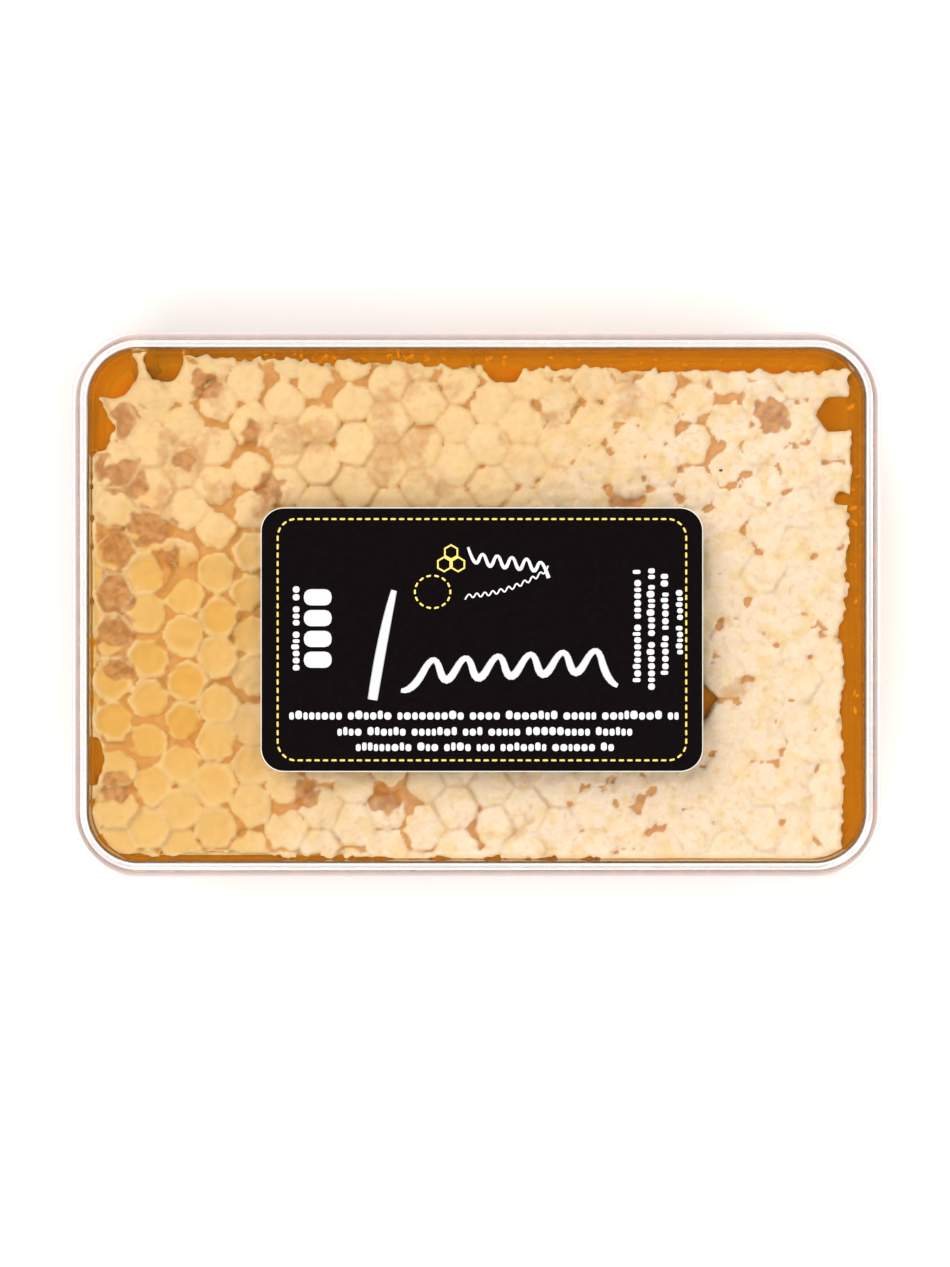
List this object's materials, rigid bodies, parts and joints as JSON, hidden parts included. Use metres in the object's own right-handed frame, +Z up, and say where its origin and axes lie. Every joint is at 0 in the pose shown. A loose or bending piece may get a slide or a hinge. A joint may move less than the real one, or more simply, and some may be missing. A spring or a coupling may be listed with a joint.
{
  "type": "boxed honeycomb piece",
  "caption": "Cut piece of capped honeycomb in loose honey, packed in a clear rectangular plastic box with a push-on lid and a plain dark label.",
  "frame": {"origin": "middle of the box's flat underside", "axes": "+X along the box's length, +Y across it towards the edge that is further from the label, +Z up through the lid"},
  "size_m": [0.105, 0.0708, 0.028],
  "materials": {
    "clear_plastic": "clear moulded polystyrene, polished",
    "label_paper": "black satin print with a pale yellow dashed border and plain bars",
    "beeswax": "soft wax cappings, satin, damp with honey in places",
    "honey": "clear amber liquid, glossy"
  },
  "bodies": {
    "root": {"tray": "clear_plastic", "lid": "clear_plastic", "label": "label_paper", "comb": "beeswax", "honey": "honey"}
  },
  "joints": []
}
